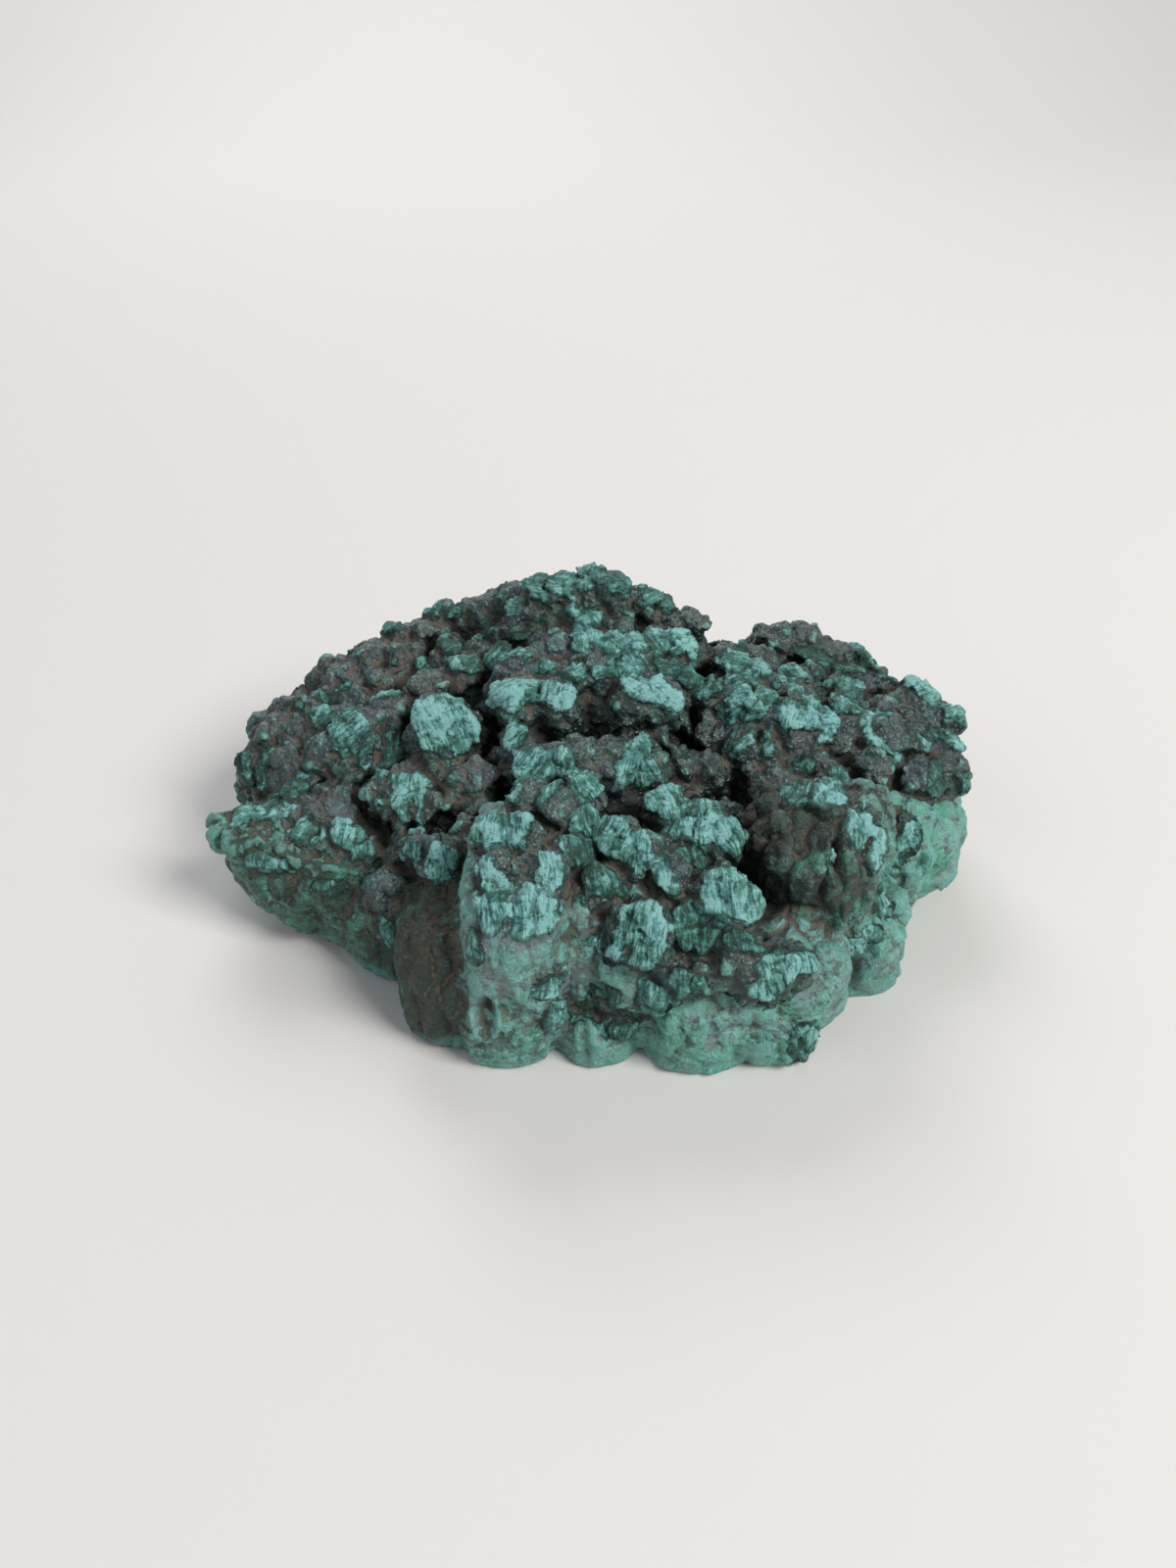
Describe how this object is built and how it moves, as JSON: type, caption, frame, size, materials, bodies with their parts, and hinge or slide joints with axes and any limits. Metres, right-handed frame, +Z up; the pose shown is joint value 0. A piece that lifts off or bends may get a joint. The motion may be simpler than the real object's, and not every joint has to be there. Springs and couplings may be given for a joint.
{
  "type": "malachite specimen",
  "caption": "Free-standing mass of fused botryoidal and fibrous malachite columns with broken caps, a stone ornament resting on a flat foot.",
  "frame": {"origin": "on the resting plane, under the middle of the specimen's bounding box", "axes": "+Z up, +X to the specimen's right as seen from its front, +Y towards its back"},
  "size_m": [0.2124, 0.142, 0.0817],
  "materials": {
    "malachite": "matt to silky, broken caps paler"
  },
  "bodies": {
    "root": {"malachite_specimen": "malachite"}
  },
  "joints": []
}
